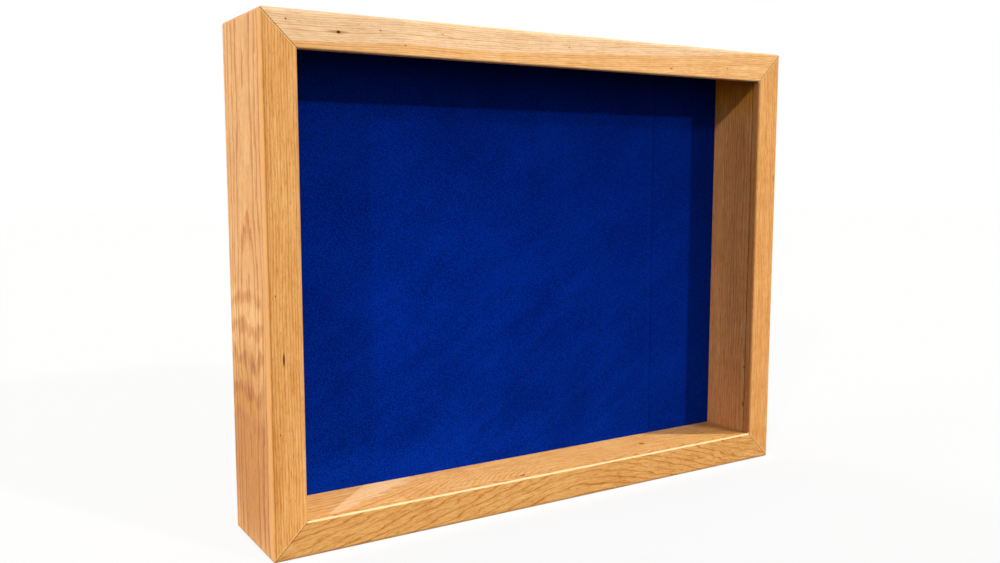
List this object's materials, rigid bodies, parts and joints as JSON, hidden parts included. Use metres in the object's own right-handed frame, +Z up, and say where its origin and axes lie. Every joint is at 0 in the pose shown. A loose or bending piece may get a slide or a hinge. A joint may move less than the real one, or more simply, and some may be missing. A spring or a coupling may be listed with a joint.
{
  "type": "fishing lure display case",
  "caption": "Deep mitred hardwood box frame with a front lip, a clear pane and a suede-covered pin board behind, opened from the back by turn buttons.",
  "frame": {"origin": "bottom centre of the whole case, on the surface it stands on", "axes": "+X to the viewer's right, +Y from the front towards the wall, +Z up"},
  "size_m": [0.682, 0.1214, 0.529],
  "materials": {
    "frame_wood": "satin",
    "liner_wood": "satin",
    "spline_ply": "matte",
    "panel_ply": "matte",
    "clear_pane": "polished",
    "pin_board_fibre": "matte",
    "blue_suede": "matte",
    "button_brass": "satin",
    "screw_brass": "satin",
    "zinc_plate": "satin",
    "bright_steel": "satin",
    "bumper_rubber": "matte"
  },
  "bodies": {
    "frame": {"left_stile": "frame_wood", "right_stile": "frame_wood", "top_rail": "frame_wood", "bottom_rail": "frame_wood", "corner_splines": "spline_ply", "front_pane": "clear_pane", "left_liner": "liner_wood", "right_liner": "liner_wood", "top_liner": "liner_wood", "bottom_liner": "liner_wood", "liner_brads": "bright_steel", "turn_button_screws": "screw_brass", "left_hanger_plate": "zinc_plate", "right_hanger_plate": "zinc_plate", "hanger_plate_screws": "bright_steel", "wall_bumpers": "bumper_rubber"},
    "backing": {"back_panel": "panel_ply", "pin_board": "pin_board_fibre", "suede_cover": "blue_suede"},
    "turn_button_bottom_left": {"turn_button_bottom_left": "button_brass"},
    "turn_button_bottom_right": {"turn_button_bottom_right": "button_brass"},
    "turn_button_top_left": {"turn_button_top_left": "button_brass"},
    "turn_button_top_right": {"turn_button_top_right": "button_brass"},
    "turn_button_left": {"turn_button_left": "button_brass"},
    "turn_button_right": {"turn_button_right": "button_brass"}
  },
  "joints": [
    {"name": "backing_lift_out", "type": "slide", "parent": "frame", "child": "backing", "axis": [0, 1, 0], "range_m": [0, 0.045]},
    {"name": "turn_button_bottom_left_turn", "type": "hinge", "parent": "frame", "child": "turn_button_bottom_left", "pos_m": [-0.17, 0.0557, 0.0095], "axis": [0, -1, 0], "continuous": true},
    {"name": "turn_button_bottom_right_turn", "type": "hinge", "parent": "frame", "child": "turn_button_bottom_right", "pos_m": [0.17, 0.0557, 0.0095], "axis": [0, -1, 0], "continuous": true},
    {"name": "turn_button_top_left_turn", "type": "hinge", "parent": "frame", "child": "turn_button_top_left", "pos_m": [-0.17, 0.0557, 0.5195], "axis": [0, -1, 0], "continuous": true},
    {"name": "turn_button_top_right_turn", "type": "hinge", "parent": "frame", "child": "turn_button_top_right", "pos_m": [0.17, 0.0557, 0.5195], "axis": [0, -1, 0], "continuous": true},
    {"name": "turn_button_left_turn", "type": "hinge", "parent": "frame", "child": "turn_button_left", "pos_m": [-0.3315, 0.0557, 0.232], "axis": [0, -1, 0], "continuous": true},
    {"name": "turn_button_right_turn", "type": "hinge", "parent": "frame", "child": "turn_button_right", "pos_m": [0.3315, 0.0557, 0.232], "axis": [0, -1, 0], "continuous": true}
  ]
}
